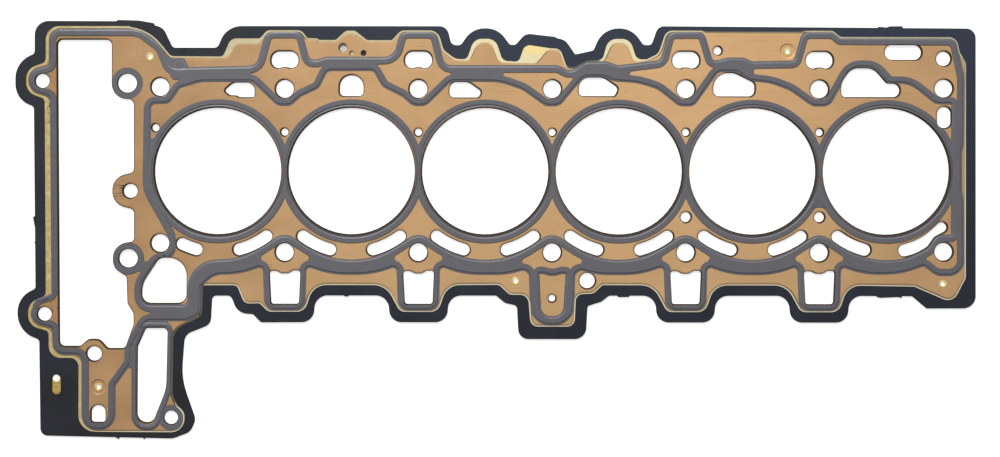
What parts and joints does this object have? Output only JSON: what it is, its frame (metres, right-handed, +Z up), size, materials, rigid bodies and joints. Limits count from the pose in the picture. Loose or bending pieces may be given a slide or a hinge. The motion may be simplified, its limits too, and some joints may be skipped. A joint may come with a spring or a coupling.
{
  "type": "cylinder head gasket",
  "caption": "Multi-layer steel cylinder head gasket for an in-line engine: stacked sheets with bores, bolt holes, coolant and oil ports, a chain window, printed seal tracks and eyelets.",
  "frame": {"origin": "centre of the first cylinder bore, next to the chain window, on the underside of the lowest sheet", "axes": "+X along the row of bores away from the chain window, +Y to the side of the coolant ports, +Z up through the sheets to the cylinder head"},
  "size_m": [0.6545, 0.2858, 0.0014],
  "materials": {
    "brown_coat": "satin lacquer over rolled spring steel",
    "pale_coat": "pale yellow lacquer over spring steel",
    "dark_coat": "matt blue-black coating",
    "golden_steel": "satin steel with a light golden coat",
    "grey_elastomer": "smooth grey elastomer print",
    "eyelet_metal": "yellow-passivated steel"
  },
  "bodies": {
    "root": {"upper_layer": "brown_coat", "middle_layer": "pale_coat", "carrier_layer": "dark_coat", "lower_layer": "golden_steel", "sealing_track": "grey_elastomer", "feed_track": "grey_elastomer", "eyelet_1": "eyelet_metal", "eyelet_2": "eyelet_metal", "eyelet_3": "eyelet_metal", "eyelet_4": "eyelet_metal", "eyelet_5": "eyelet_metal"}
  },
  "joints": []
}
